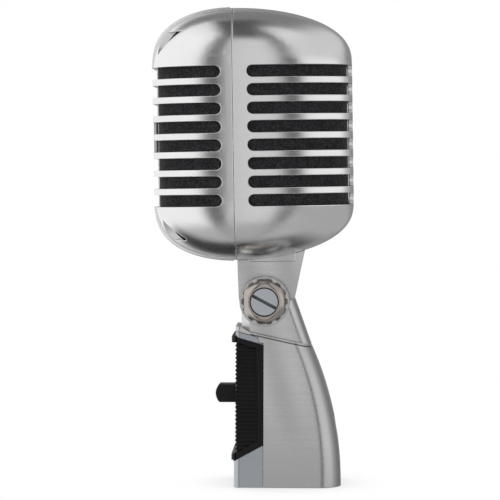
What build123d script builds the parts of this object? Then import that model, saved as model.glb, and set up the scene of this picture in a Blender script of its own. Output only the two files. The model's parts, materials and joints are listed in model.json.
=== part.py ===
from build123d import *
import os
from math import dist, radians, sin, sqrt

os.makedirs("parts", exist_ok=True)

# Desktop microphone: a slotted die-cast head on a tongue-and-fork swivel over a
# cast base with a slide switch, a rear connector and a 5/8 inch stand thread.
# Frame: origin at the mouth of the stand thread, +Z up, the front faces -Y.

# ---- driving dimensions (mm, degrees) ----
PIVOT_Z = 72.5
HEAD_LEAN = 0.85          # the head rests this far forward of upright

HEAD_Y = -3.5             # centre of the head's plan
HEAD_Z = 138.3            # centre of the head's height
HEAD_HALF_DEPTH = 39.0
HEAD_HALF_WIDTH = 28.0
HEAD_HALF_HEIGHT = 49.6
END_HALF_WIDTH = 12.0     # flat part of the front and rear faces
END_HALF_HEIGHT = 28.0
CORNER_SHARE = 0.86       # section corner radius over its half width
SEAM_Y = -10.7
SEAM_GAP = 0.1
WALL = 1.8

SLOT_COUNT = 8
SLOT_PITCH = 7.1
SLOT_HEIGHT = 4.65
SLOTS_Z = 137.3
SLOT_FRONT_END = SEAM_Y - 4.6
SLOT_REAR_END = SEAM_Y + 5.5
SLOT_REAR_X = 7.5         # rear slots end this far from the middle

SPINE_HALF = 4.5
SPINE_SETBACK = 1.1
BAND_HALF = 11.0
BAND_RAISE = 0.35
GROOVE_SPACING = 15.0     # between the two grooves down the band
GROOVE_WIDTH = 1.2

CAPSULE_Z = SLOTS_Z
CAPSULE_R = 17.0

TONGUE_HALF = 5.0
TONGUE_R = 9.6
CHEEK_IN = 6.0
CHEEK_OUT = 11.0
CHEEK_R = 9.85
KNUCKLE_VOID_R = 12.4
STUD_R = 5.3
STUD_BORE_R = 5.35
TILT_BACK = 37.0           # furthest the head leans back

BASE_FRONT = -11.9
BASE_REAR = 30.0
BASE_REAR_ARC = 133.7
BASE_HALF_WIDTH = 17.0
BASE_SIDE_ARC = 395.0
BASE_TOP = 63.0
BASE_WALL = 2.0
REAR_CORNER = 9.0         # at the foot
REAR_CORNER_TOP = 6.5     # at the ledge
FRONT_CORNER = 2.4
PARTING_Y = -0.4

THREAD_R = 7.45
THREAD_LENGTH = 14.0
BUSH_R = 9.4
BUSH_FLANGE_R = 10.2

PLATE_RAISE = 0.35
PLATE_WALL = 1.7
RIB_PITCH = 1.6
RIB_DEPTH = 1.25
SIDE_RIB_DEPTH = 0.45
PLATE_TIP = 1.0           # how far the rim's front corners stand out
KNOB_Z = 35.7
KNOB_HALF = 3.55
SWITCH_TRAVEL = 4.0

XLR_Z = 22.0
XLR_FACE_Y = 25.8
XLR_R = 9.5
XLR_CAVITY_R = 8.1
PIN_R = 1.2
PIN_CIRCLE_R = 4.1

TILT_AXIS = Axis((0, 0, PIVOT_Z), (1, 0, 0))
HEAD_STATIONS = 12


# ---- shared shapes ----
def head_size(side, share):
    """Y, half width and half height of the head, share 0 at the seam to 1 at the end face."""
    reach = HEAD_HALF_DEPTH - side * (SEAM_Y - HEAD_Y)
    power = (2.1, 2.45) if side < 0 else (2.0, 2.3)
    y = SEAM_Y + side * reach * share
    across = min(abs(y - HEAD_Y) / HEAD_HALF_DEPTH, 1)
    swell = (1 - across**1.9) ** (1 / 1.9)
    crown = (1 - min(share, 1) ** power[0]) ** (1 / power[1])
    half_width = END_HALF_WIDTH + (HEAD_HALF_WIDTH - END_HALF_WIDTH) * swell
    half_height = END_HALF_HEIGHT + (HEAD_HALF_HEIGHT - END_HALF_HEIGHT) * crown
    return y, half_width, half_height


def even_shares(side):
    """Stations spaced evenly along the head's surface, from the seam to the end face."""
    shares = [sin(radians(90 * step / 1000)) for step in range(1001)]
    trail = [0.0]
    for before, after in zip(shares, shares[1:]):
        trail.append(trail[-1] + dist(head_size(side, before), head_size(side, after)))
    wanted = [trail[-1] * station / HEAD_STATIONS for station in range(HEAD_STATIONS)]
    picked = [next(share for share, gone in zip(shares, trail) if gone >= goal) for goal in wanted]
    return picked + [1.0]


def head_half(side, inset):
    """Solid half of the head, in front of (-1) or behind (+1) the seam."""
    with BuildPart() as half:
        for share in even_shares(side):
            y, half_width, half_height = head_size(side, share)
            corner = CORNER_SHARE * half_width - inset
            with BuildSketch(Plane.XZ.offset(side * inset * share - y)):
                with Locations((0, HEAD_Z)):
                    RectangleRounded(2 * (half_width - inset), 2 * (half_height - inset), corner)
        loft()
    return half.part


def base_form(inset, low, high, steps=4):
    """Solid D-shaped column of the base between two heights."""
    with BuildPart() as column:
        for step in range(steps + 1):
            z = low + (high - low) * step / steps
            rear = BASE_REAR - BASE_REAR_ARC + sqrt(BASE_REAR_ARC**2 - z * z) - inset
            half_width = BASE_HALF_WIDTH - BASE_SIDE_ARC + sqrt(BASE_SIDE_ARC**2 - z * z) - inset
            front = BASE_FRONT + inset
            with BuildSketch(Plane.XY.offset(z)) as outline:
                with Locations((0, (front + rear) / 2)):
                    Rectangle(2 * half_width, rear - front)
                corner = REAR_CORNER + (REAR_CORNER_TOP - REAR_CORNER) * z / BASE_TOP - 0.8 * inset
                fillet(outline.vertices().group_by(Axis.Y)[-1], corner)
                fillet(outline.vertices().group_by(Axis.Y)[0], max(FRONT_CORNER - inset, 0.4))
        loft()
    return column.part


def side_prism(points, half_width):
    """Solid of a side outline in Y and Z, spread evenly to both sides."""
    with BuildPart() as prism:
        with BuildSketch(Plane.YZ):
            with BuildLine():
                Polyline(*points, close=True)
            make_face()
        extrude(amount=half_width, both=True)
    return prism.part


head_outer_front = head_half(-1, 0)
head_outer_rear = head_half(1, 0)
head_inner_front = head_half(-1, WALL)
head_inner_rear = head_half(1, WALL)

slots_height = (SLOT_COUNT - 1) * SLOT_PITCH + SLOT_HEIGHT
slots_top = SLOTS_Z + slots_height / 2
slots_bottom = SLOTS_Z - slots_height / 2
FRONT_FACE_Y = HEAD_Y - HEAD_HALF_DEPTH


# ---- head: front grille shell ----
with BuildPart() as band:
    add(head_half(-1, -BAND_RAISE))
    with Locations((0, SEAM_Y - 1.5 - 20, HEAD_Z)):
        Box(2 * BAND_HALF, 40, 120, mode=Mode.INTERSECT)
    with Locations((0, SEAM_Y - 1.5 - 20, SLOTS_Z)):
        Box(2 * BAND_HALF, 60, slots_height, mode=Mode.SUBTRACT)

with BuildPart() as band_grooves:
    add(head_half(-1, -BAND_RAISE - 1))
    add(head_half(-1, 0.1), mode=Mode.SUBTRACT)
    with BuildSketch(Plane.XY.offset(HEAD_Z - 60)):
        with GridLocations(GROOVE_SPACING, 0, 2, 1):
            with Locations((0, SEAM_Y - 26)):
                Rectangle(GROOVE_WIDTH, 40)
    extrude(amount=120, mode=Mode.INTERSECT)

with BuildPart() as spine:
    add(head_half(-1, SPINE_SETBACK))
    add(head_inner_front, mode=Mode.SUBTRACT)
    with Locations((0, FRONT_FACE_Y, SLOTS_Z)):
        Box(2 * SPINE_HALF, 12, slots_height + 2, mode=Mode.INTERSECT)

BADGE_WIDTH = 20.0
SCREW_SEAT_Z = 89.7
SCREW_HEAD_THICK = 0.8
SCREW_Y = SEAM_Y - 6.5
BADGE_HEIGHT = 14.2

with BuildPart() as front_grille_shell:
    add(head_outer_front)
    add(band.part)
    add(band_grooves.part, mode=Mode.SUBTRACT)
    add(head_inner_front, mode=Mode.SUBTRACT)
    # eight slots run round the front from side to side
    with BuildSketch(Plane.YZ):
        with Locations((SLOT_FRONT_END - 30, SLOTS_Z)):
            with GridLocations(0, SLOT_PITCH, 1, SLOT_COUNT):
                SlotOverall(60, SLOT_HEIGHT)
    extrude(amount=40, both=True, mode=Mode.SUBTRACT)
    # leaf-shaped openings beside the ridged band, top and bottom
    with BuildSketch(Plane.XZ.offset(30)):
        for tip_z, flat_z in ((169.4, 178.4), (104.9, 97.0)):
            for hand in (-1, 1):
                with BuildLine():
                    root = (hand * (BAND_HALF + 0.3), flat_z)
                    wing = (hand * (BAND_HALF + 6.2), flat_z)
                    tip = (hand * (BAND_HALF + 3.8), tip_z)
                    inner = (hand * (BAND_HALF + 1.4), (tip_z + flat_z) / 2)
                    outer = (hand * (BAND_HALF + 5.6), (tip_z + flat_z) / 2)
                    ThreePointArc(tip, inner, root)
                    Line(root, wing)
                    ThreePointArc(wing, outer, tip)
                make_face()
    extrude(amount=20, mode=Mode.SUBTRACT)
    add(spine.part)
    # shallow seat for the blank plate at the middle of the front
    with BuildSketch(Plane.XZ.offset(-(FRONT_FACE_Y + SPINE_SETBACK))):
        with Locations((0, SLOTS_Z)):
            RectangleRounded(BADGE_WIDTH, BADGE_HEIGHT, 2.0)
    extrude(amount=5, mode=Mode.SUBTRACT)
    # thin relief so that the two shells meet with a fine line
    with Locations((0, SEAM_Y, HEAD_Z)):
        Box(80, 2 * SEAM_GAP, 120, mode=Mode.SUBTRACT)
    # hole for the closing screw, up through the bottom wall
    with BuildSketch(Plane.XY.offset(HEAD_Z - 60)):
        with Locations((0, SCREW_Y)):
            Circle(1.7)
    extrude(amount=25, mode=Mode.SUBTRACT)
    with BuildSketch(Plane.XY.offset(HEAD_Z - 60)):
        with Locations((0, SCREW_Y)):
            Circle(2.7)
    extrude(amount=SCREW_SEAT_Z - HEAD_Z + 60, mode=Mode.SUBTRACT)

# ---- head: blank plate on the front ----
with BuildPart() as front_badge:
    with BuildSketch(Plane.XZ.offset(-(FRONT_FACE_Y + SPINE_SETBACK))):
        with Locations((0, SLOTS_Z)):
            RectangleRounded(BADGE_WIDTH - 0.2, BADGE_HEIGHT - 0.2, 1.9)
    extrude(amount=SPINE_SETBACK)
    with BuildSketch(Plane.XZ.offset(-(FRONT_FACE_Y + 0.3))):
        with Locations((0, SLOTS_Z)):
            RectangleRounded(BADGE_WIDTH - 2.4, BADGE_HEIGHT - 2.4, 1.0)
    extrude(amount=1, mode=Mode.SUBTRACT)

# ---- head: rear grille shell ----
with BuildPart() as rear_slots:
    with BuildSketch(Plane.YZ):
        with Locations((SLOT_REAR_END + 30, SLOTS_Z)):
            with GridLocations(0, SLOT_PITCH, 1, SLOT_COUNT):
                SlotOverall(60, SLOT_HEIGHT)
    extrude(amount=40, both=True)
    with BuildSketch(Plane.XZ.offset(60)):
        for hand in (-1, 1):
            with Locations((hand * (SLOT_REAR_X + 20), SLOTS_Z)):
                with GridLocations(0, SLOT_PITCH, 1, SLOT_COUNT):
                    SlotOverall(40, SLOT_HEIGHT)
    extrude(amount=-120, mode=Mode.INTERSECT)

LIP_REACH = 2.0
with BuildPart() as seam_lip:
    add(head_half(-1, WALL + 0.1))
    add(head_half(-1, WALL + 1.5), mode=Mode.SUBTRACT)
    with Locations((0, SEAM_Y, HEAD_Z)):
        Box(80, 2 * LIP_REACH, 120, mode=Mode.INTERSECT)

with BuildPart() as lip_root:
    add(head_half(1, WALL - 0.2))
    add(head_half(1, WALL + 1.5), mode=Mode.SUBTRACT)
    with Locations((0, SEAM_Y + 1.5, HEAD_Z)):
        Box(80, 3.0, 120, mode=Mode.INTERSECT)

SHELL_HOLE_Y = 3.0        # middle of the opening for the swivel lug
SHELL_HOLE = (11.0, 19.0)

with BuildPart() as rear_grille_shell:
    add(head_outer_rear)
    add(head_inner_rear, mode=Mode.SUBTRACT)
    add(rear_slots.part, mode=Mode.SUBTRACT)
    with Locations((0, SEAM_Y, HEAD_Z)):
        Box(80, 2 * SEAM_GAP, 120, mode=Mode.SUBTRACT)
    # lip that slides inside the front shell
    add(lip_root.part)
    add(seam_lip.part)
    with Locations((0, SHELL_HOLE_Y, HEAD_Z - 46)):
        Box(SHELL_HOLE[0] + 0.2, SHELL_HOLE[1] + 0.2, 12, mode=Mode.SUBTRACT)
    # screw tab, rooted in the lip, that reaches forward over the front shell's bottom wall
    with BuildSketch(Plane.XY.offset(91.5)):
        with Locations((0, SEAM_Y - 3.1)):
            RectangleRounded(9, 14, 2)
    extrude(amount=2.9)
    with BuildSketch(Plane.XY.offset(91.0)):
        with Locations((0, SCREW_Y)):
            Circle(1.25)
    extrude(amount=5, mode=Mode.SUBTRACT)

# ---- head: closing screw under the front shell ----
with BuildPart() as grille_screw:
    with BuildSketch(Plane.XY.offset(SCREW_SEAT_Z - 0.1)):
        with Locations((0, SCREW_Y)):
            Circle(1.2)
    extrude(amount=4.9)
    with BuildSketch(Plane.XY.offset(SCREW_SEAT_Z - SCREW_HEAD_THICK)):
        with Locations((0, SCREW_Y)):
            Circle(2.4)
    extrude(amount=SCREW_HEAD_THICK)
    with BuildSketch(Plane.XY.offset(SCREW_SEAT_Z - SCREW_HEAD_THICK)):
        with Locations((0, SCREW_Y)):
            Rectangle(6, 0.6)
    extrude(amount=0.4, mode=Mode.SUBTRACT)

# ---- head: foam liners behind the slots ----
FOAM_OUT = WALL + 0.25
FOAM_IN = WALL + 2.6
with BuildPart() as front_foam_liner:
    add(head_half(-1, FOAM_OUT))
    add(head_half(-1, FOAM_IN), mode=Mode.SUBTRACT)
    with Locations((0, SEAM_Y - 3.2 - 30, SLOTS_Z)):
        Box(80, 60, slots_height + 30, mode=Mode.INTERSECT)

with BuildPart() as rear_foam_liner:
    add(head_half(1, FOAM_OUT))
    add(head_half(1, FOAM_IN), mode=Mode.SUBTRACT)
    with Locations((0, SEAM_Y + 3.6 + 40, SLOTS_Z)):
        Box(80, 80, slots_height + 10, mode=Mode.INTERSECT)

# ---- moving-coil capsule: all turned about an axis along Y ----
CAPSULE_FRONT = -26.0
CAPSULE_BACK = 6.0
COIL_R = 10.0


def turned(points):
    """Solid turned about the capsule's axis from radius and Y pairs."""
    with BuildPart() as body:
        with BuildSketch(Plane.YZ):
            with BuildLine():
                Polyline(*[(y, CAPSULE_Z + radius) for radius, y in points], close=True)
            make_face()
        revolve(axis=Axis((0, 0, CAPSULE_Z), (0, 1, 0)))
    return body.part


with BuildPart() as capsule_housing:
    add(turned([(0, 6), (CAPSULE_R, 6), (CAPSULE_R, -23), (15.5, -23), (15.5, 4.5), (0, 4.5)]))
    with BuildSketch(Plane.XZ.offset(-7)):
        with Locations((0, CAPSULE_Z)):
            with PolarLocations(12.5, 6):
                Circle(1.5)
    extrude(amount=4, mode=Mode.SUBTRACT)

with BuildPart() as capsule_front_cap:
    add(turned([(0, -26), (16.2, -26), (CAPSULE_R, -25.2), (CAPSULE_R, -23.02), (15.5, -23.02),
                (15.5, -24.5), (0, -24.5)]))
    with BuildSketch(Plane.XZ.offset(28)):
        with Locations((0, CAPSULE_Z)):
            Circle(1.4)
            with PolarLocations(5.5, 6):
                Circle(1.4)
            with PolarLocations(11, 12):
                Circle(1.4)
    extrude(amount=-6, mode=Mode.SUBTRACT)

with BuildPart() as diaphragm:
    with BuildSketch(Plane.YZ):
        with BuildLine():
            TangentArc((-23.4, CAPSULE_Z), (-21.25, CAPSULE_Z + COIL_R), tangent=(0, 1))
            Line((-21.25, CAPSULE_Z + COIL_R), (-21.25, CAPSULE_Z + 14))
            Line((-21.25, CAPSULE_Z + 14), (-21.0, CAPSULE_Z + 14))
            Line((-21.0, CAPSULE_Z + 14), (-21.0, CAPSULE_Z + COIL_R - 0.1))
            TangentArc((-23.1, CAPSULE_Z), (-21.0, CAPSULE_Z + COIL_R - 0.1), tangent=(0, 1))
            Line((-23.1, CAPSULE_Z), (-23.4, CAPSULE_Z))
        make_face()
    revolve(axis=Axis((0, 0, CAPSULE_Z), (0, 1, 0)))

with BuildPart() as voice_coil:
    add(turned([(COIL_R, -20.98), (COIL_R + 0.5, -20.98), (COIL_R + 0.5, -14.5), (COIL_R, -14.5)]))

with BuildPart() as pole_plate:
    add(turned([(0, -18), (9.4, -18), (9.4, -15), (0, -15)]))

with BuildPart() as magnet:
    add(turned([(0, -14.98), (8.0, -14.98), (8.0, -6), (0, -6)]))

with BuildPart() as yoke_cup:
    add(turned([(0, -5.98), (12.0, -5.98), (12.0, -15), (11.1, -15), (11.1, -18), (14.5, -18),
                (14.5, -3), (0, -3)]))

with BuildPart() as yoke_spacer:
    add(turned([(6, -2.98), (9, -2.98), (9, 4.48), (6, 4.48)]))

with BuildPart() as terminal_board:
    add(turned([(0, 6.02), (9, 6.02), (9, 7.4), (0, 7.4)]))
    with BuildSketch(Plane.XZ.offset(-7.4)):
        with Locations((0, CAPSULE_Z)):
            with GridLocations(9, 0, 2, 1):
                Circle(1.2)
    extrude(amount=-0.8)

with BuildPart() as shock_ring_front:
    add(turned([(CAPSULE_R + 0.02, -20), (19.5, -20), (19.5, -16), (CAPSULE_R + 0.02, -16)]))

with BuildPart() as shock_ring_rear:
    add(turned([(CAPSULE_R + 0.02, -3), (19.5, -3), (19.5, 1), (CAPSULE_R + 0.02, 1)]))

# ---- bracket band that carries the capsule on the clamp plate ----
CLAMP_Z = 97.0
NECK_SCREW_Y = 3.7
LEAD_HOLE_Y = 9.2
CLAMP_THICK = 2.5
with BuildPart() as capsule_bracket:
    add(turned([(19.52, -20), (20.8, -20), (20.8, 1), (19.52, 1)]))
    with Locations((0, -2.5, (CLAMP_Z + CLAMP_THICK + 1.5 + CAPSULE_Z - 20) / 2)):
        Box(12, 5, CAPSULE_Z - 20 - CLAMP_Z - CLAMP_THICK - 1.5)
    with BuildSketch(Plane.XY.offset(CLAMP_Z + CLAMP_THICK)):
        with Locations((0, -2.5)):
            RectangleRounded(26, 6, 1.5)
    extrude(amount=1.5)
    with BuildSketch(Plane.XY.offset(CLAMP_Z + CLAMP_THICK)):
        with Locations((0, -2.5)):
            with GridLocations(20, 0, 2, 1):
                Circle(1.3)
    extrude(amount=2, mode=Mode.SUBTRACT)

with BuildPart() as bracket_screws:
    with BuildSketch(Plane.XY.offset(CLAMP_Z + 0.2)):
        with Locations((0, -2.5)):
            with GridLocations(20, 0, 2, 1):
                Circle(1.2)
    extrude(amount=CLAMP_THICK + 1.4)
    with BuildSketch(Plane.XY.offset(CLAMP_Z + CLAMP_THICK + 1.52)):
        with Locations((0, -2.5)):
            with GridLocations(20, 0, 2, 1):
                Circle(2.2)
    extrude(amount=1.3)

with BuildPart() as clamp_plate:
    with BuildSketch(Plane.XY.offset(CLAMP_Z)):
        with Locations((0, SHELL_HOLE_Y)):
            RectangleRounded(28, 26, 3)
        with Locations((0, -2.5)):
            with GridLocations(20, 0, 2, 1):
                Circle(1.22, mode=Mode.SUBTRACT)
        with Locations((0, NECK_SCREW_Y)):
            Circle(1.6, mode=Mode.SUBTRACT)
        with Locations((0, LEAD_HOLE_Y)):
            Circle(2.4, mode=Mode.SUBTRACT)
    extrude(amount=CLAMP_THICK)

# ---- swivel lug: flared neck on top, round tongue below ----
with BuildPart() as neck_blank:
    add(side_prism([(-10.9, 96), (-10.4, 74), (-10.2, PIVOT_Z), (11.5, PIVOT_Z), (11.8, 73.6), (16.9, 96)],
                   TONGUE_HALF))
    with BuildSketch(Plane.YZ):
        with Locations((0, PIVOT_Z)):
            Circle(TONGUE_R)
    extrude(amount=TONGUE_HALF, both=True)

with BuildPart() as neck_lug:
    add(neck_blank.part)
    add(head_half(1, -0.05), mode=Mode.SUBTRACT)
    add(head_half(-1, -0.05), mode=Mode.SUBTRACT)
    with BuildSketch(Plane.XY.offset(88)):
        with Locations((0, SHELL_HOLE_Y)):
            RectangleRounded(SHELL_HOLE[0], SHELL_HOLE[1], 1.0)
    extrude(amount=CLAMP_Z - 88)
    with BuildSketch(Plane.YZ):
        with Locations((0, PIVOT_Z)):
            Circle(STUD_BORE_R)
    extrude(amount=20, both=True, mode=Mode.SUBTRACT)
    with BuildSketch(Plane.XY.offset(84.5)):
        with Locations((0, LEAD_HOLE_Y)):
            Circle(2.2)
    extrude(amount=14, mode=Mode.SUBTRACT)
    with BuildSketch(Plane.XY.offset(86)):
        with Locations((0, NECK_SCREW_Y)):
            Circle(1.55)
    extrude(amount=14, mode=Mode.SUBTRACT)

with BuildPart() as neck_screw:
    with BuildSketch(Plane.XY.offset(86.5)):
        with Locations((0, NECK_SCREW_Y)):
            Circle(1.5)
    extrude(amount=CLAMP_Z + CLAMP_THICK - 86.5)
    with BuildSketch(Plane.XY.offset(CLAMP_Z + CLAMP_THICK)):
        with Locations((0, NECK_SCREW_Y)):
            Circle(2.7)
    extrude(amount=1.9)
    with BuildSketch(Plane.XY.offset(CLAMP_Z + CLAMP_THICK + 1.2)):
        with Locations((0, NECK_SCREW_Y)):
            Rectangle(8, 0.8)
    extrude(amount=1.0, mode=Mode.SUBTRACT)

# ---- capsule leads down to the hole in the lug ----
with BuildPart() as capsule_leads:
    for hand in (-1, 1):
        with BuildLine() as run:
            Spline(
                (hand * 4.5, 8.22, CAPSULE_Z),
                (hand * 4.2, 12.5, CAPSULE_Z - 8),
                (hand * 2.0, 11.0, CLAMP_Z + 16),
                (hand * 0.9, LEAD_HOLE_Y, CLAMP_Z + 2),
                (hand * 0.9, LEAD_HOLE_Y, 86),
                tangents=((0, 1, 0), (0, 0, -1)),
            )
        with BuildSketch(Plane(origin=run.line @ 0, z_dir=run.line % 0)):
            Circle(0.7)
        sweep(path=run.line)

# ---- swivel hardware, mirrored on both sides ----
DISC_OUT = CHEEK_IN - 0.03
with BuildPart() as friction_discs:
    for hand in (-1, 1):
        with BuildSketch(Plane.YZ.offset(hand * (TONGUE_HALF + 0.03))):
            with Locations((0, PIVOT_Z)):
                Circle(9.0)
                Circle(STUD_BORE_R + 0.3, mode=Mode.SUBTRACT)
        extrude(amount=hand * (DISC_OUT - TONGUE_HALF - 0.03))

WASHER_THICK = 0.9
LOCK_THICK = 0.8
NUT_THICK = 3.6
NUT_ACROSS_FLATS = 15.8
MOUTH_R = 5.75
MOUTH_DEPTH = 1.5
with BuildPart() as boss_washers:
    for hand in (-1, 1):
        with BuildSketch(Plane.YZ.offset(hand * CHEEK_OUT)):
            with Locations((0, PIVOT_Z)):
                Circle(CHEEK_R - 0.25)
                Circle(STUD_BORE_R + 0.05, mode=Mode.SUBTRACT)
        extrude(amount=hand * WASHER_THICK)

with BuildPart() as lock_washers:
    for hand in (-1, 1):
        with BuildSketch(Plane.YZ.offset(hand * (CHEEK_OUT + WASHER_THICK + 0.01))):
            with Locations((0, PIVOT_Z)):
                Circle(7.9)
                with PolarLocations(8.2, 14):
                    Rectangle(1.6, 1.9)
                Circle(STUD_BORE_R + 0.1, mode=Mode.SUBTRACT)
        extrude(amount=hand * LOCK_THICK)

NUT_BASE = CHEEK_OUT + WASHER_THICK + LOCK_THICK + 0.02
with BuildPart() as pivot_nuts:
    for hand in (-1, 1):
        with BuildSketch(Plane.YZ.offset(hand * NUT_BASE)):
            with Locations((0, PIVOT_Z)):
                RegularPolygon(NUT_ACROSS_FLATS / 2, 6, major_radius=False, rotation=30)
        extrude(amount=hand * NUT_THICK)
    with BuildSketch(Plane.XZ):
        for hand in (-1, 1):
            with BuildLine():
                Polyline(
                    (hand * (NUT_BASE - 1), PIVOT_Z),
                    (hand * (NUT_BASE - 1), PIVOT_Z + 9.4),
                    (hand * (NUT_BASE + 0.4), PIVOT_Z + 8.8),
                )
                ThreePointArc(
                    (hand * (NUT_BASE + 0.4), PIVOT_Z + 8.8),
                    (hand * (NUT_BASE + 2.6), PIVOT_Z + 7.9),
                    (hand * (NUT_BASE + NUT_THICK), PIVOT_Z + 6.2),
                )
                Polyline(
                    (hand * (NUT_BASE + NUT_THICK), PIVOT_Z + 6.2),
                    (hand * (NUT_BASE + NUT_THICK), PIVOT_Z),
                    (hand * (NUT_BASE - 1), PIVOT_Z),
                )
            make_face()
    revolve(axis=TILT_AXIS, mode=Mode.INTERSECT)
    with BuildSketch(Plane.YZ):
        with Locations((0, PIVOT_Z)):
            Circle(STUD_BORE_R)
    extrude(amount=30, both=True, mode=Mode.SUBTRACT)
    # relieved mouth round the stud's end
    for hand in (-1, 1):
        with BuildSketch(Plane.YZ.offset(hand * (NUT_BASE + NUT_THICK - MOUTH_DEPTH))):
            with Locations((0, PIVOT_Z)):
                Circle(MOUTH_R)
        extrude(amount=hand * 5, mode=Mode.SUBTRACT)

STUD_END = NUT_BASE + NUT_THICK - 0.7
with BuildPart() as pivot_stud:
    with BuildSketch(Plane.YZ):
        with Locations((0, PIVOT_Z)):
            Circle(STUD_R)
    extrude(amount=STUD_END, both=True)
    for hand in (-1, 1):
        with BuildSketch(Plane.YZ.offset(hand * STUD_END)):
            with Locations((0, PIVOT_Z)):
                Rectangle(12, 1.2, rotation=-28)
        extrude(amount=-hand * 1.7, mode=Mode.SUBTRACT)

# ---- base: outlines seen from the side ----
COVER_GAP = 0.15
COVER_END = PARTING_Y - COVER_GAP
LEDGE = ((-14.0, 63.4), (-9.0, 62.4), (-5.5, 60.5), (18.3, 55.3), (40.0, 50.56))
PLATE_OUTLINE = ((-14, 59.4), (COVER_END, 55.6), (COVER_END, 16.5), (-14, 9.2))
FIELD_OUTLINE = ((-14, 57.4), (-3.2, 54.3), (-2.5, 18.4), (-14, 11.6))
TOP_TIP = ((-13, 56.5), (-13, 58.7), (-12.4, 59.4), (-11.35, 59.1), (-11.35, 56.5))
BOTTOM_TIP = ((-13, 10.6), (-13, 12.8), (-11.5, 13.6), (-11.5, 11.2))
BELOW_LEDGE = [(-16, -1), *LEDGE, (40, -1)]
# the cover's lip rises above the plate and ends in a rounded nose
COVER_OUTLINE = ((-20, -1), (-20, 63.2), (-3.4, 58.7), (-2.6, 58.2), (-2.3, 57.5), (-2.3, 56.4),
                 (COVER_END, 56.0), (COVER_END, -1))
COVER_SPACE = ((-20, -2), (-20, 63.35), (-3.35, 58.85), (-2.48, 58.32), (-2.15, 57.55), (-2.15, 56.52),
               (PARTING_Y, 56.15), (PARTING_Y, -2))

base_outer = base_form(0, 0, BASE_TOP)
base_cavity = base_form(BASE_WALL, -1, BASE_TOP)

with BuildPart() as base_neck:
    add(side_prism(
        [(-9.1, 59.5), (-9.1, 73.0), (11.8, 73.0), (18.25, 54.9)],
        CHEEK_OUT,
    ))
    chamfer(base_neck.edges().filter_by(Axis.Z).group_by(Axis.Y)[0], 3.2)
    rear_edges = base_neck.edges().filter_by(lambda edge: edge.center().Y > 13 and abs(edge.center().X) > 5)
    fillet(rear_edges, 3.8)
    with BuildSketch(Plane.YZ):
        with Locations((0, PIVOT_Z)):
            Circle(CHEEK_R)
    extrude(amount=CHEEK_OUT, both=True)

with BuildPart() as knuckle_void:
    with BuildSketch(Plane.YZ):
        with Locations((0, PIVOT_Z)):
            Circle(KNUCKLE_VOID_R)
        with Locations((0, PIVOT_Z + 10)):
            Rectangle(60, 20)
    extrude(amount=CHEEK_IN, both=True)
    # room for the lug's rear edge when the head leans right back
    add(side_prism([(0, PIVOT_Z), (8.9, PIVOT_Z - 8.0), (19.6, PIVOT_Z + 1.0), (19.6, PIVOT_Z + 12)], CHEEK_IN))

# everything ahead of this plane, above the plate, is left to the plate's top corner
with BuildPart() as tip_space:
    add(side_prism([(-20, 57.9), (-11.3, 57.9), (-11.3, 70), (-20, 70)], 30))

# fine groove round the sides and rear, just below the ledge
GROOVE_DROP = 0.7
GROOVE_HEIGHT = 0.35
with BuildPart() as ledge_groove:
    add(base_form(-1, 48, 62))
    add(base_form(0.45, 47, 63), mode=Mode.SUBTRACT)
    add(side_prism(
        [(LEDGE[2][0], LEDGE[2][1] - GROOVE_DROP), (LEDGE[4][0], LEDGE[4][1] - GROOVE_DROP),
         (LEDGE[4][0], LEDGE[4][1] - GROOVE_DROP - GROOVE_HEIGHT),
         (LEDGE[2][0], LEDGE[2][1] - GROOVE_DROP - GROOVE_HEIGHT)],
        30,
    ), mode=Mode.INTERSECT)

with BuildPart() as bush_seat:
    with BuildSketch(Plane.XY.offset(-1)):
        Circle(BUSH_R + 0.05)
    extrude(amount=THREAD_LENGTH + 2)
    with BuildSketch(Plane.XY.offset(4 - 0.05)):
        Circle(BUSH_FLANGE_R + 0.05)
    extrude(amount=3.1)

FLOOR_TOP = 8.0
COVER_SCREWS = ((-8.0, 48.0), (8.0, 48.0), (-8.0, 22.0), (8.0, 22.0))

with BuildPart() as hollow:
    add(base_cavity)
    add(side_prism([(-20, FLOOR_TOP), (-20, 57.2), (-5.5, 55.0), (18.3, 51.2), (40, 45), (40, FLOOR_TOP)], 30),
        mode=Mode.INTERSECT)

# ---- base: rear shell with the fork ----
with BuildPart() as base_rear_shell:
    add(base_outer)
    add(side_prism(BELOW_LEDGE, 30), mode=Mode.INTERSECT)
    add(ledge_groove.part, mode=Mode.SUBTRACT)
    add(base_neck.part)
    add(hollow.part, mode=Mode.SUBTRACT)
    add(knuckle_void.part, mode=Mode.SUBTRACT)
    # the front of the base below the lip belongs to the cover
    add(side_prism(COVER_SPACE, 30), mode=Mode.SUBTRACT)
    add(tip_space.part, mode=Mode.SUBTRACT)
    add(bush_seat.part, mode=Mode.SUBTRACT)
    # bosses that take the cover's screws
    with BuildSketch(Plane.XZ.offset(-PARTING_Y)):
        with Locations(*COVER_SCREWS):
            Circle(3.2)
    extrude(amount=-6)
    for hand in (-1, 1):
        with Locations((hand * 10.3, PARTING_Y + 3, 48)):
            Box(4.6, 6, 2)
        with Locations((hand * 11.5, PARTING_Y + 3, 22)):
            Box(7.0, 6, 2)
    with BuildSketch(Plane.XZ.offset(-PARTING_Y)):
        with Locations(*COVER_SCREWS):
            Circle(1.25)
    extrude(amount=-8, mode=Mode.SUBTRACT)
    with BuildSketch(Plane.YZ):
        with Locations((0, PIVOT_Z)):
            Circle(STUD_BORE_R)
    extrude(amount=20, both=True, mode=Mode.SUBTRACT)
    # sleeve and round opening for the connector
    with BuildSketch(Plane.XZ.offset(-14)):
        with Locations((0, XLR_Z)):
            Circle(XLR_R + 2.0)
    extrude(amount=-11.5)
    with BuildSketch(Plane.XZ.offset(-13)):
        with Locations((0, XLR_Z)):
            Circle(XLR_R + 0.1)
    extrude(amount=-20, mode=Mode.SUBTRACT)

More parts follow.
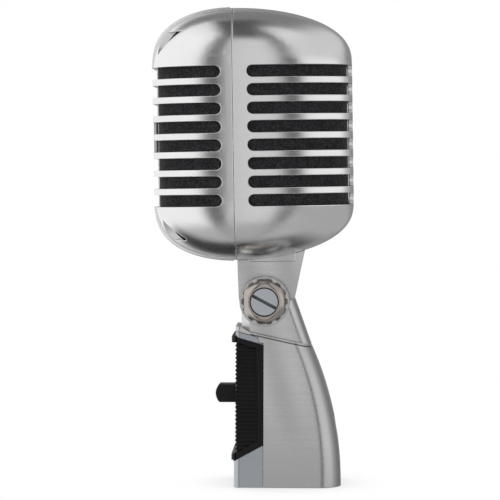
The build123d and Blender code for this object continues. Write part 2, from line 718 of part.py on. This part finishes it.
# ---- base: front cover, solid at the foot, a U-shaped wall behind the plate ----
with BuildPart() as plate_region:
    add(base_form(-2, 5, 60))
    add(base_form(PLATE_WALL, 4, 61), mode=Mode.SUBTRACT)
    add(side_prism(PLATE_OUTLINE, 30), mode=Mode.INTERSECT)

with BuildPart() as base_front_cover:
    add(base_outer)
    add(side_prism(COVER_OUTLINE, 30), mode=Mode.INTERSECT)
    add(tip_space.part, mode=Mode.SUBTRACT)
    add(plate_region.part, mode=Mode.SUBTRACT)
    # cavity above the solid foot
    with Locations((0, PARTING_Y - 4.5, 18 + 25)):
        Box(2 * 10.6, 9.0, 50, mode=Mode.SUBTRACT)
    add(bush_seat.part, mode=Mode.SUBTRACT)
    # window for the slider
    with Locations((0, BASE_FRONT, KNOB_Z - SWITCH_TRAVEL / 2)):
        Box(7.0, 10, 2 * KNOB_HALF + SWITCH_TRAVEL + 0.6, mode=Mode.SUBTRACT)
    # ears behind the wall for the screws into the rear shell
    for x, z in COVER_SCREWS:
        with Locations((x, COVER_END - 1.5, z)):
            Box(6.4, 3.0, 6.0)
    with BuildSketch(Plane.XZ.offset(-PARTING_Y)):
        with Locations(*COVER_SCREWS):
            Circle(1.6)
    extrude(amount=8, mode=Mode.SUBTRACT)

with BuildPart() as cover_screws:
    with BuildSketch(Plane.XZ.offset(-(COVER_END - 3.0))):
        with Locations(*COVER_SCREWS):
            Circle(1.2)
    extrude(amount=-9.0)
    with BuildSketch(Plane.XZ.offset(-(COVER_END - 3.0))):
        with Locations(*COVER_SCREWS):
            Circle(2.3)
    extrude(amount=1.5)

# ---- base: black switch plate, rimmed, with saw-tooth ribs between ----
with BuildPart() as plate_rim:
    add(base_form(-PLATE_RAISE, 5, 60))
    add(base_form(PLATE_WALL - 0.05, 4, 61), mode=Mode.SUBTRACT)
    add(side_prism(PLATE_OUTLINE, 30), mode=Mode.INTERSECT)

with BuildPart() as plate_field:
    add(base_form(-2, 5, 60))
    add(base_form(RIB_DEPTH - 0.05, 4, 61), mode=Mode.SUBTRACT)
    add(side_prism(FIELD_OUTLINE, 30), mode=Mode.INTERSECT)

RIB_COUNT = 30
RIB_START = 9.6
TOOTH_EDGE = 0.45         # the front teeth end this far inside the base's face
rib_feet = [RIB_START + rib * RIB_PITCH for rib in range(RIB_COUNT)]


def side_reach(z):
    """Half width of the base at a height."""
    return BASE_HALF_WIDTH - BASE_SIDE_ARC + sqrt(BASE_SIDE_ARC**2 - z * z)


front_teeth = []
side_teeth = []
for foot in rib_feet:
    front_teeth.append((BASE_FRONT + RIB_DEPTH, foot))
    front_teeth.append((BASE_FRONT + TOOTH_EDGE, foot + RIB_PITCH / 2))
    side_teeth.append((side_reach(foot) - SIDE_RIB_DEPTH, foot))
    side_teeth.append((side_reach(foot) - 0.05, foot + RIB_PITCH / 2))
rib_top = rib_feet[-1] + RIB_PITCH

with BuildPart() as rib_field:
    add(side_prism([(2, RIB_START), *front_teeth, (BASE_FRONT + RIB_DEPTH, rib_top), (2, rib_top)], 20))
    with BuildSketch(Plane.XZ.offset(20)):
        with BuildLine():
            Polyline(
                *side_teeth,
                (side_reach(rib_top) - SIDE_RIB_DEPTH, rib_top),
                (SIDE_RIB_DEPTH - side_reach(rib_top), rib_top),
                *[(-x, z) for x, z in reversed(side_teeth)],
                close=True,
            )
        make_face()
    extrude(amount=-30, mode=Mode.INTERSECT)
    add(side_prism(FIELD_OUTLINE, 30), mode=Mode.INTERSECT)
    add(base_form(PLATE_WALL - 0.05, 4, 61), mode=Mode.SUBTRACT)

with BuildPart() as plate_tips:
    add(side_prism(TOP_TIP, 30))
    add(side_prism(BOTTOM_TIP, 30))
    add(base_form(-PLATE_TIP, 5, 62), mode=Mode.INTERSECT)

with BuildPart() as switch_plate:
    add(plate_rim.part)
    add(plate_field.part, mode=Mode.SUBTRACT)
    add(rib_field.part)
    add(plate_tips.part)
    with Locations((0, BASE_FRONT, KNOB_Z - SWITCH_TRAVEL / 2)):
        Box(9.6, 10, 2 * KNOB_HALF + SWITCH_TRAVEL + 1.6, mode=Mode.SUBTRACT)

# ---- switch: knob, slider, body, contacts ----
KNOB_TIP_Y = -19.6
KNOB_FOOT_Y = -11.2
with BuildPart() as switch_knob:
    with BuildSketch(Plane.YZ):
        with BuildLine():
            Polyline(
                (KNOB_TIP_Y + 1.2, KNOB_Z + KNOB_HALF - 0.35),
                (KNOB_TIP_Y + 1.6, KNOB_Z + KNOB_HALF),
                (KNOB_FOOT_Y, KNOB_Z + KNOB_HALF),
                (KNOB_FOOT_Y, KNOB_Z - KNOB_HALF),
                (KNOB_TIP_Y + 1.6, KNOB_Z - KNOB_HALF),
                (KNOB_TIP_Y + 1.2, KNOB_Z - KNOB_HALF + 0.35),
            )
            ThreePointArc(
                (KNOB_TIP_Y + 1.2, KNOB_Z - KNOB_HALF + 0.35),
                (KNOB_TIP_Y, KNOB_Z),
                (KNOB_TIP_Y + 1.2, KNOB_Z + KNOB_HALF - 0.35),
            )
        make_face()
    extrude(amount=4.2, both=True)
    with BuildSketch(Plane.YZ):
        for notch in range(9):
            with Locations((KNOB_TIP_Y + 0.12, KNOB_Z - 2.8 + 0.7 * notch)):
                Rectangle(0.8 + 0.12 * abs(notch - 4), 0.32)
    extrude(amount=6, both=True, mode=Mode.SUBTRACT)

SLIDER_Z = KNOB_Z
with BuildPart() as switch_slider:
    with Locations((0, (KNOB_FOOT_Y - 7.6) / 2 + 0.01, SLIDER_Z)):
        Box(5.0, -7.6 - KNOB_FOOT_Y - 0.02, 5.0)
    with Locations((0, -6.4, SLIDER_Z)):
        Box(8.0, 2.4, 7.0)

BODY_Z = KNOB_Z - SWITCH_TRAVEL / 2
with BuildPart() as switch_body:
    with Locations((0, -6.2, BODY_Z)):
        Box(12.0, 5.4, 16.0)
    with Locations((0, -6.35, BODY_Z)):
        Box(8.2, 2.7, 11.4, mode=Mode.SUBTRACT)
    with Locations((0, -8.6, BODY_Z)):
        Box(5.2, 2.4, 9.4, mode=Mode.SUBTRACT)

with BuildPart() as switch_terminals:
    with BuildSketch(Plane.XZ.offset(3.48)):
        with Locations((0, BODY_Z)):
            with GridLocations(4.0, 4.5, 2, 3):
                Rectangle(1.4, 0.5)
    extrude(amount=-2.4)

# ---- stand thread bush, clamped between the two halves ----
with BuildPart() as thread_bush:
    with BuildSketch(Plane.XY):
        Circle(BUSH_R)
    extrude(amount=THREAD_LENGTH)
    with BuildSketch(Plane.XY.offset(4)):
        Circle(BUSH_FLANGE_R)
    extrude(amount=3)
    with BuildSketch(Plane.XY):
        Circle(THREAD_R)
    extrude(amount=THREAD_LENGTH, mode=Mode.SUBTRACT)


# ---- rear connector ----
XLR_LENGTH = 16.2
with BuildPart() as xlr_housing:
    with BuildSketch(Plane.XZ.offset(-XLR_FACE_Y)):
        with Locations((0, XLR_Z)):
            Circle(XLR_R)
    extrude(amount=XLR_LENGTH)
    with BuildSketch(Plane.XZ.offset(-XLR_FACE_Y)):
        with Locations((0, XLR_Z)):
            Circle(XLR_CAVITY_R)
    extrude(amount=14.0, mode=Mode.SUBTRACT)
    with Locations((0, XLR_FACE_Y - 5, XLR_Z + XLR_CAVITY_R)):
        Box(2.4, 12, 1.6, mode=Mode.SUBTRACT)
    with BuildSketch(Plane.XZ.offset(-(XLR_FACE_Y - XLR_LENGTH))):
        with Locations((0, XLR_Z)):
            with PolarLocations(PIN_CIRCLE_R, 3, start_angle=-90):
                Circle(PIN_R + 0.02)
    extrude(amount=-3, mode=Mode.SUBTRACT)

PIN_FOOT_Y = XLR_FACE_Y - 19.5
with BuildPart() as xlr_pins:
    with BuildSketch(Plane.XZ.offset(-PIN_FOOT_Y)):
        with Locations((0, XLR_Z)):
            with PolarLocations(PIN_CIRCLE_R, 3, start_angle=-90):
                Circle(PIN_R)
    extrude(amount=-18.0)
    fillet(xlr_pins.edges().group_by(Axis.Y)[-1], 0.8)

with BuildPart() as xlr_trim_ring:
    with BuildSketch(Plane.XZ.offset(-(XLR_FACE_Y + 0.02))):
        with Locations((0, XLR_Z)):
            Circle(XLR_R)
            Circle(XLR_CAVITY_R + 0.2, mode=Mode.SUBTRACT)
    extrude(amount=-0.3)

with BuildPart() as base_leads:
    for hand in (-1, 1):
        with BuildLine() as run:
            Spline(
                (hand * 2.0, -1.0, BODY_Z),
                (hand * 2.6, 1.6, BODY_Z - 2),
                (hand * 3.3, 3.2, XLR_Z + 4),
                (hand * 3.55, PIN_FOOT_Y - 0.1, XLR_Z + PIN_CIRCLE_R / 2),
                tangents=((0, 1, 0), (0, 1, 0)),
            )
        with BuildSketch(Plane(origin=run.line @ 0, z_dir=run.line % 0)):
            Circle(0.6)
        sweep(path=run.line)

# ---- the head leans about the pivot, then every piece is written ----
head_pieces = {
    "front_grille_shell": front_grille_shell,
    "front_badge": front_badge,
    "rear_grille_shell": rear_grille_shell,
    "grille_screw": grille_screw,
    "front_foam_liner": front_foam_liner,
    "rear_foam_liner": rear_foam_liner,
    "capsule_housing": capsule_housing,
    "capsule_front_cap": capsule_front_cap,
    "diaphragm": diaphragm,
    "voice_coil": voice_coil,
    "pole_plate": pole_plate,
    "magnet": magnet,
    "yoke_cup": yoke_cup,
    "yoke_spacer": yoke_spacer,
    "terminal_board": terminal_board,
    "shock_ring_front": shock_ring_front,
    "shock_ring_rear": shock_ring_rear,
    "capsule_bracket": capsule_bracket,
    "bracket_screws": bracket_screws,
    "clamp_plate": clamp_plate,
    "neck_lug": neck_lug,
    "neck_screw": neck_screw,
    "capsule_leads": capsule_leads,
    "friction_discs": friction_discs,
}
base_pieces = {
    "boss_washers": boss_washers,
    "lock_washers": lock_washers,
    "pivot_nuts": pivot_nuts,
    "pivot_stud": pivot_stud,
    "base_rear_shell": base_rear_shell,
    "base_front_cover": base_front_cover,
    "cover_screws": cover_screws,
    "switch_plate": switch_plate,
    "switch_knob": switch_knob,
    "switch_slider": switch_slider,
    "switch_body": switch_body,
    "switch_terminals": switch_terminals,
    "thread_bush": thread_bush,
    "xlr_housing": xlr_housing,
    "xlr_pins": xlr_pins,
    "xlr_trim_ring": xlr_trim_ring,
    "base_leads": base_leads,
}
for piece in head_pieces.values():
    piece.part = piece.part.rotate(TILT_AXIS, HEAD_LEAN)
for name, piece in {**head_pieces, **base_pieces}.items():
    piece.part.label = name
    export_step(piece.part, f"parts/{name}.step")
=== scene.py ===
import bpy, bmesh, json, math
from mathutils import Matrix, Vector

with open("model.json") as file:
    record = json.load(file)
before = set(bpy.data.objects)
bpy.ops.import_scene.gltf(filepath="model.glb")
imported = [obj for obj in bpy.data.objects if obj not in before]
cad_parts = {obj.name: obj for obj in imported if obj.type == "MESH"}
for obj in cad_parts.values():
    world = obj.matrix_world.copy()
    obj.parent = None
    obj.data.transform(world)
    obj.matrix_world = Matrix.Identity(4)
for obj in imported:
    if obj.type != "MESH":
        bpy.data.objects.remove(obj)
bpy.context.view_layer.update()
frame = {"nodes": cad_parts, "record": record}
scene = bpy.context.scene

# ---------- painted reflection bands on the brushed casting, which lean with its rear edge; painted shade at its foot and in crevices (metres) ---
BAND_LEAN = 0.27
BAND_LEVEL_Z = 0.0557
BAND_PERIOD = 0.015
BAND_PHASE = 2.24
BAND_FADE_Z = (0.008, 0.03)
FOOT_PAINTED_SHADE_Z = (-0.005, 0.045)
FOOT_PAINTED_SHADE_TONE = 0.66
STREAK_TONE = 0.72
PAINTED_CREVICE_SHADE_TONE = 0.12

# ---------- studio levels ----------
STUDIO_STRENGTH = 1.05
CEILING_FLAG = 0.07
FAR_SIDE = 0.21
BEHIND_HIGH = 0.66
BEHIND_LOW = 0.42
NEAR_FLOOR = 0.42
FAR_FLOOR = 0.045
FLOOR_DROP = 0.0002
CONTACT_SHADOW = 0.03

# ---------- camera: at the object's side, a little behind and above it ----------
CAMERA_AZIMUTH = math.radians(92)
CAMERA_ELEVATION = math.radians(2)
CAMERA_DISTANCE = 0.9
CAMERA_LENS = 163.3
AIM_Y = -0.0061
AIM_Z = 0.0923


# ---------- node helpers ----------
class Tree:
    """Small wrapper that builds shader nodes from short calls."""

    def __init__(self, tree):
        self.t = tree
        tree.nodes.clear()

    def add(self, kind, **props):
        n = self.t.nodes.new(kind)
        for key, value in props.items():
            setattr(n, key, value)
        return n

    def put(self, socket, value):
        if isinstance(value, bpy.types.NodeSocket):
            self.t.links.new(value, socket)
        elif value is not None:
            socket.default_value = value

    def math(self, op, a, b=None, c=None, clamp=False):
        n = self.add("ShaderNodeMath", operation=op, use_clamp=clamp)
        for i, v in enumerate((a, b, c)):
            self.put(n.inputs[i], v)
        return n.outputs[0]

    def ramp(self, fac, stops, ease="EASE"):
        n = self.add("ShaderNodeValToRGB")
        n.color_ramp.interpolation = ease
        el = n.color_ramp.elements
        while len(el) > 1:
            el.remove(el[-1])
        for i, (pos, col) in enumerate(stops):
            e = el[0] if i == 0 else el.new(pos)
            e.position = pos
            c = col if isinstance(col, (tuple, list)) else (col, col, col)
            e.color = (*c, 1)
        self.put(n.inputs[0], fac)
        return n.outputs[0]

    def step(self, value, low, high):
        n = self.add("ShaderNodeMapRange", interpolation_type="SMOOTHSTEP")
        self.put(n.inputs["Value"], value)
        n.inputs["From Min"].default_value = low
        n.inputs["From Max"].default_value = high
        return n.outputs[0]

    def mix(self, fac, a, b, kind="MIX"):
        n = self.add("ShaderNodeMix", data_type="RGBA", blend_type=kind)
        self.put(n.inputs[0], fac)
        for i, v in ((6, a), (7, b)):
            if not isinstance(v, bpy.types.NodeSocket):
                v = (*v, 1) if len(v) == 3 else v
            self.put(n.inputs[i], v)
        return n.outputs[2]

    def noise(self, vec, scale, detail=3.0, rough=0.5):
        n = self.add("ShaderNodeTexNoise")
        self.put(n.inputs["Vector"], vec)
        n.inputs["Scale"].default_value = scale
        n.inputs["Detail"].default_value = detail
        n.inputs["Roughness"].default_value = rough
        return n.outputs["Fac"]

    def stretch(self, scale):
        co = self.add("ShaderNodeTexCoord").outputs["Object"]
        n = self.add("ShaderNodeMapping")
        self.put(n.inputs["Vector"], co)
        n.inputs["Scale"].default_value = scale
        return n.outputs[0]

    def bump(self, height, strength, distance, normal=None):
        n = self.add("ShaderNodeBump")
        n.inputs["Strength"].default_value = strength
        n.inputs["Distance"].default_value = distance
        self.put(n.inputs["Height"], height)
        self.put(n.inputs["Normal"], normal)
        return n.outputs[0]

    def soft_edge(self, radius):
        n = self.add("ShaderNodeBevel", samples=6)
        n.inputs["Radius"].default_value = radius
        return n.outputs[0]


def toned(color, factor):
    """The colour made darker or lighter by a factor, and never above white."""
    return tuple(min(1, c * factor) for c in color)


def material(name):
    m = bpy.data.materials.new(name)
    m.use_nodes = True
    t = Tree(m.node_tree)
    out = t.add("ShaderNodeOutputMaterial")
    p = t.add("ShaderNodeBsdfPrincipled")
    t.t.links.new(p.outputs[0], out.inputs[0])
    return m, t, p


def metal(name, color, rough=0.25, grain=(40, 40, 1400), grain_bump=0.05, mottle=0.04, edge=0.0003,
          rough_var=0.08, streak=0.06, painted_band_depth=0.0, crevice=0.0):
    """Satin metal: directional grain, mottling and soft corners, with optional painted reflection bands and
    painted foot shade, and optional painted shade in crevices.
    """
    m, t, p = material(name)
    p.inputs["Metallic"].default_value = 1.0
    lines = t.noise(t.stretch(grain), 1.0, 2.0, 0.6)
    cloud = t.noise(t.stretch((70, 70, 70)), 1.0, 4.0, 0.55)
    fine = t.noise(t.stretch((900, 900, 900)), 1.0, 2.0, 0.5)
    base = t.mix(cloud, toned(color, 1 - mottle * 2.2), toned(color, 1 + mottle))
    if painted_band_depth:
        # painted reflection: broad soft light and dark bands in the colour that lean with the casting's rear
        # edge and fade towards the foot
        sep = t.add("ShaderNodeSeparateXYZ")
        t.put(sep.inputs[0], t.add("ShaderNodeTexCoord").outputs["Object"])
        lean = t.math("MULTIPLY", t.math("SUBTRACT", sep.outputs[2], BAND_LEVEL_Z), BAND_LEAN)
        turn = t.math("MULTIPLY", t.math("ADD", sep.outputs[1], lean), 2 * math.pi / BAND_PERIOD)
        wave = t.math("SINE", t.math("SUBTRACT", turn, BAND_PHASE))
        shade = t.math("SUBTRACT", 0.5, t.math("MULTIPLY", wave, 0.5))
        shade = t.math("MULTIPLY", shade, t.step(sep.outputs[2], *BAND_FADE_Z))
        base = t.mix(shade, base, toned(color, 1 - painted_band_depth))
        # painted shade: the colour darkens towards the foot of the casting
        painted_foot_shade = t.math("SUBTRACT", 1.0, t.step(sep.outputs[2], *FOOT_PAINTED_SHADE_Z))
        base = t.mix(painted_foot_shade, base, toned(color, FOOT_PAINTED_SHADE_TONE))
    base = t.mix(t.math("MULTIPLY", lines, streak), base, toned(color, STREAK_TONE))
    if crevice:
        # painted shade in narrow gaps: ambient occlusion darkens the colour there
        gap = t.add("ShaderNodeAmbientOcclusion", samples=8)
        gap.inputs["Distance"].default_value = crevice
        open_air = t.ramp(gap.outputs["AO"], [(0.25, 0.0), (0.75, 1.0)])
        base = t.mix(open_air, toned(color, PAINTED_CREVICE_SHADE_TONE), base)
    t.put(p.inputs["Base Color"], base)
    r = t.math("ADD", rough - rough_var / 2, t.math("MULTIPLY", lines, rough_var))
    r = t.math("ADD", r, t.math("MULTIPLY", t.math("SUBTRACT", cloud, 0.5), rough_var))
    t.put(p.inputs["Roughness"], r)
    soft = t.soft_edge(edge) if edge else None
    h = t.math("ADD", t.math("MULTIPLY", lines, 0.8), t.math("MULTIPLY", fine, 0.2))
    t.put(p.inputs["Normal"], t.bump(h, grain_bump, 0.0002, soft))
    return m


def plastic(name, color, rough=0.45, grain=0.25, scale=1500, edge=0.0002, spec=0.4):
    """Moulded plastic: slow colour drift and a fine matt texture."""
    m, t, p = material(name)
    fine = t.noise(t.stretch((scale,) * 3), 1.0, 3.0, 0.6)
    cloud = t.noise(t.stretch((60,) * 3), 1.0, 3.0, 0.5)
    t.put(p.inputs["Base Color"], t.mix(cloud, toned(color, 0.8), toned(color, 1.25)))
    t.put(p.inputs["Roughness"], t.math("ADD", rough - 0.06, t.math("MULTIPLY", fine, 0.12)))
    p.inputs["Specular IOR Level"].default_value = spec
    soft = t.soft_edge(edge) if edge else None
    t.put(p.inputs["Normal"], t.bump(fine, grain, 0.00005, soft))
    return m


def foam(name, color):
    """Open-cell foam: dark pores between lighter cell walls."""
    m, t, p = material(name)
    vec = t.stretch((1, 1, 1))
    v = t.add("ShaderNodeTexVoronoi", feature="F1")
    t.put(v.inputs["Vector"], vec)
    v.inputs["Scale"].default_value = 1500
    cells = v.outputs["Distance"]
    patch = t.noise(vec, 260, 5, 0.7)
    blend = t.math("ADD", t.math("MULTIPLY", cells, 0.6), t.math("MULTIPLY", patch, 0.6))
    shades = [(0.30, toned(color, 0.3)), (0.55, color), (0.75, toned(color, 2.0))]
    t.put(p.inputs["Base Color"], t.ramp(blend, shades))
    p.inputs["Roughness"].default_value = 0.95
    p.inputs["Specular IOR Level"].default_value = 0.15
    p.inputs["Sheen Weight"].default_value = 0.15
    t.put(p.inputs["Normal"], t.bump(blend, 0.9, 0.0006))
    return m


def simple(name, color, rough, metallic, scale=600, bump=0.15):
    """Plain finish with fine colour variation, for the pieces inside."""
    m, t, p = material(name)
    fine = t.noise(t.stretch((scale,) * 3), 1.0, 3.0, 0.6)
    t.put(p.inputs["Base Color"], t.mix(fine, toned(color, 0.75), toned(color, 1.15)))
    t.put(p.inputs["Roughness"], t.math("ADD", rough - 0.05, t.math("MULTIPLY", fine, 0.1)))
    p.inputs["Metallic"].default_value = metallic
    t.put(p.inputs["Normal"], t.bump(fine, bump, 0.00008, t.soft_edge(0.00015)))
    return m


# ---------- one material for each slot of the record ----------
TURNED = (300, 300, 300)
MATS = {
    "shell_metal": metal("satin_shell", (0.84, 0.84, 0.84), rough=0.20, grain=(60, 60, 1600),
                         grain_bump=0.04, edge=0.0005),
    "badge_metal": metal("satin_badge", (0.62, 0.62, 0.62), rough=0.3, grain=(1200, 60, 60)),
    "cover_metal": metal("grey_cover", (0.46, 0.49, 0.53), rough=0.36, grain=(60, 60, 1500)),
    "nickel": metal("warm_nickel", (0.46, 0.42, 0.39), rough=0.17, grain=TURNED, grain_bump=0.03,
                    crevice=0.0015),
    "washer_metal": metal("flat_washer", (0.56, 0.56, 0.55), rough=0.2, grain=TURNED, crevice=0.0015),
    "lock_washer_metal": metal("toothed_washer", (0.20, 0.19, 0.18), rough=0.15, grain=(400, 400, 400),
                               mottle=0.4, crevice=0.002),
    "stud_metal": metal("zinc_stud", (0.56, 0.59, 0.63), rough=0.34, grain=TURNED, crevice=0.0035),
    "screw_steel": metal("screw_steel", (0.5, 0.5, 0.5), rough=0.25),
    "capsule_metal": metal("capsule_alloy", (0.6, 0.6, 0.61), rough=0.3),
    "bracket_metal": metal("pressed_steel", (0.55, 0.55, 0.55), rough=0.35),
    "soft_iron": metal("soft_iron", (0.4, 0.4, 0.41), rough=0.4),
    "magnet_iron": metal("ground_magnet", (0.3, 0.3, 0.31), rough=0.35),
    "foam": foam("charcoal_foam", (0.022, 0.022, 0.024)),
    "plate_black": plastic("black_plate", (0.007, 0.007, 0.008), rough=0.42, spec=0.16),
    "knob_black": plastic("black_knob", (0.008, 0.008, 0.009), rough=0.4, spec=0.2),
    "black_plastic": plastic("black_moulding", (0.02, 0.02, 0.02), rough=0.5),
    "board": simple("laminate", (0.30, 0.19, 0.09), 0.5, 0),
    "rubber": simple("shock_rubber", (0.03, 0.03, 0.03), 0.8, 0),
    "wire": simple("wire_sleeve", (0.45, 0.05, 0.04), 0.5, 0),
    "fibre": simple("fibre", (0.22, 0.11, 0.07), 0.7, 0),
    "film": simple("film", (0.75, 0.70, 0.55), 0.25, 0),
    "copper": simple("copper_winding", (0.75, 0.38, 0.2), 0.3, 1),
    "brass_contacts": simple("turned_brass", (0.75, 0.58, 0.28), 0.25, 1),
    "pin_metal": simple("plated_pins", (0.80, 0.72, 0.5), 0.2, 1),
}
# the base casting and the lug share the shell's slot but are brushed, with painted reflection bands, painted
# shade at the foot and painted shade in crevices
BRUSHED_PAINTED_BANDS = metal("brushed_shell_painted_bands", (0.70, 0.70, 0.70), rough=0.28, grain=(22, 22, 900), grain_bump=0.12,
                edge=0.0004, streak=0.5, painted_band_depth=0.24, crevice=0.0012)
own_material = {"base_rear_shell": BRUSHED_PAINTED_BANDS, "neck_lug": BRUSHED_PAINTED_BANDS}
slots = {row["node"]: row["material_slot"] for row in frame["record"]["subparts"]}
for name, obj in frame["nodes"].items():
    mat = own_material.get(name, MATS[slots[name]])
    if not obj.material_slots:
        obj.data.materials.append(mat)
    for s in obj.material_slots:
        s.material = mat


# ---------- studio: white to the camera, shaped for reflections ----------
def grey(level):
    return (level, level, level)


def build_world():
    """Surroundings seen in the metal: walls of light, dark flags and a plain white for the camera."""
    world = bpy.data.worlds.new("studio")
    scene.world = world
    world.use_nodes = True
    t = Tree(world.node_tree)
    out = t.add("ShaderNodeOutputWorld")
    co = t.add("ShaderNodeTexCoord").outputs["Generated"]
    sep = t.add("ShaderNodeSeparateXYZ")
    t.put(sep.inputs[0], co)
    x, y, z = sep.outputs
    turn = t.math("ADD", t.math("DIVIDE", t.math("ARCTAN2", y, x), 2 * math.pi), 0.5)
    flat = t.math("SQRT", t.math("ADD", t.math("MULTIPLY", x, x), t.math("MULTIPLY", y, y)))
    lift = t.math("ADD", t.math("DIVIDE", t.math("ARCTAN2", z, flat), math.pi), 0.5)

    def az(deg):
        return deg / 360 + 0.5

    def el(deg):
        return deg / 180 + 0.5

    def between(value, low, high, soft):
        """1 inside a span of a direction component, fading out over the soft margin."""
        up = t.step(value, low - soft, low + soft)
        down = t.math("SUBTRACT", 1.0, t.step(value, high - soft, high + soft))
        return t.math("MULTIPLY", up, down)

    # walls of light and narrow dark flags all round the object
    wall = t.ramp(turn, [
        (az(-180), 0.30), (az(-160), 0.73), (az(-140), 1.0), (az(-35), 1.0), (az(-27), 0.05), (az(-21), 0.05),
        (az(-14), 0.66), (az(13), 0.70), (az(19), 0.03), (az(25), 0.03), (az(31), 0.91), (az(70), 0.93),
        (az(95), 0.50), (az(120), 0.28), (az(180), 0.28),
    ])
    rise = t.ramp(lift, [(el(-90), 0.6), (el(-60), 0.7), (el(-45), 1.0), (el(48), 1.0), (el(90), 0.75)])
    # dark ceiling flag over the object, and a dim far side
    flag = t.math("MULTIPLY", between(y, -0.25, 0.10, 0.06), between(x, -0.25, 0.52, 0.1))
    flag = t.math("MULTIPLY", flag, t.step(z, 0.3, 0.6))
    far = t.math("MULTIPLY", between(x, -2.0, -0.25, 0.1), t.step(z, 0.55, 0.8))
    glow = t.mix(1.0, wall, rise, "MULTIPLY")
    # even light from the near floor, almost none from the floor beyond the object
    under = t.step(t.math("MULTIPLY", z, -1.0), 0.55, 0.85)
    near = t.step(x, -0.15, 0.2)
    glow = t.mix(t.math("MULTIPLY", under, 0.75), glow, grey(NEAR_FLOOR))
    beyond = t.math("SUBTRACT", 1.0, near)
    glow = t.mix(t.math("MULTIPLY", under, beyond), glow, grey(FAR_FLOOR))
    glow = t.mix(far, glow, grey(FAR_SIDE))
    # behind the object it stays light above and below
    behind = t.step(y, 0.2, 0.5)
    glow = t.mix(t.math("MULTIPLY", behind, t.step(z, 0.3, 0.6)), glow, grey(BEHIND_HIGH))
    low = t.step(t.math("MULTIPLY", z, -1.0), 0.15, 0.4)
    glow = t.mix(t.math("MULTIPLY", behind, low), glow, grey(BEHIND_LOW))
    glow = t.mix(flag, glow, grey(CEILING_FLAG))
    shaped = t.add("ShaderNodeBackground")
    t.put(shaped.inputs[0], glow)
    shaped.inputs[1].default_value = STUDIO_STRENGTH
    plain = t.add("ShaderNodeBackground")
    plain.inputs[0].default_value = (1, 1, 1, 1)
    plain.inputs[1].default_value = 1.0
    path = t.add("ShaderNodeLightPath")
    mix = t.add("ShaderNodeMixShader")
    t.put(mix.inputs[0], path.outputs["Is Camera Ray"])
    t.put(mix.inputs[1], shaped.outputs[0])
    t.put(mix.inputs[2], plain.outputs[0])
    t.put(out.inputs[0], mix.outputs[0])


def build_floor():
    """Pale floor: white emission to the camera with a painted soft contact shadow from ambient occlusion,
    dull to everything else.
    """
    bm = bmesh.new()
    bmesh.ops.create_grid(bm, x_segments=2, y_segments=2, size=6)
    mesh = bpy.data.meshes.new("studio_floor")
    bm.to_mesh(mesh)
    bm.free()
    floor = bpy.data.objects.new("studio_floor", mesh)
    floor.location.z = -FLOOR_DROP
    floor.visible_glossy = False
    scene.collection.objects.link(floor)
    m, t, p = material("pale_floor")
    p.inputs["Base Color"].default_value = (0.8, 0.8, 0.8, 1)
    p.inputs["Roughness"].default_value = 0.9
    shade = t.add("ShaderNodeAmbientOcclusion", samples=12)
    shade.inputs["Distance"].default_value = CONTACT_SHADOW
    glow = t.add("ShaderNodeEmission")
    t.put(glow.inputs[0], t.ramp(shade.outputs["AO"], [(0.0, 0.45), (0.55, 0.86), (0.95, 1.0)]))
    path = t.add("ShaderNodeLightPath")
    mix = t.add("ShaderNodeMixShader")
    t.put(mix.inputs[0], path.outputs["Is Camera Ray"])
    t.put(mix.inputs[1], p.outputs[0])
    t.put(mix.inputs[2], glow.outputs[0])
    out = next(n for n in t.t.nodes if n.type == "OUTPUT_MATERIAL")
    t.put(out.inputs[0], mix.outputs[0])
    mesh.materials.append(m)


def build_key_light():
    """Large soft light overhead that doesn't show in reflections."""
    place = Vector((0.5, -0.3, 1.3))
    target = Vector((0, 0, 0.08))
    data = bpy.data.lights.new("key_top", "AREA")
    data.energy = 9
    data.size = 1.0
    light = bpy.data.objects.new("key_top", data)
    light.location = place
    light.rotation_euler = (target - place).to_track_quat("-Z", "Y").to_euler()
    light.visible_glossy = False
    scene.collection.objects.link(light)


def build_camera():
    flat = math.cos(CAMERA_ELEVATION)
    side = math.sin(CAMERA_AZIMUTH) * flat
    ahead = math.cos(CAMERA_AZIMUTH) * flat
    back = Vector((side, -ahead, math.sin(CAMERA_ELEVATION)))
    data = bpy.data.cameras.new("camera")
    data.lens = CAMERA_LENS
    data.sensor_width = 36
    data.clip_end = 20
    camera = bpy.data.objects.new("camera", data)
    camera.location = Vector((0, AIM_Y, AIM_Z)) + back * CAMERA_DISTANCE
    camera.rotation_euler = (-back).to_track_quat("-Z", "Y").to_euler()
    scene.collection.objects.link(camera)
    scene.camera = camera


build_world()
build_floor()
build_key_light()
build_camera()
scene.view_settings.view_transform = "Standard"
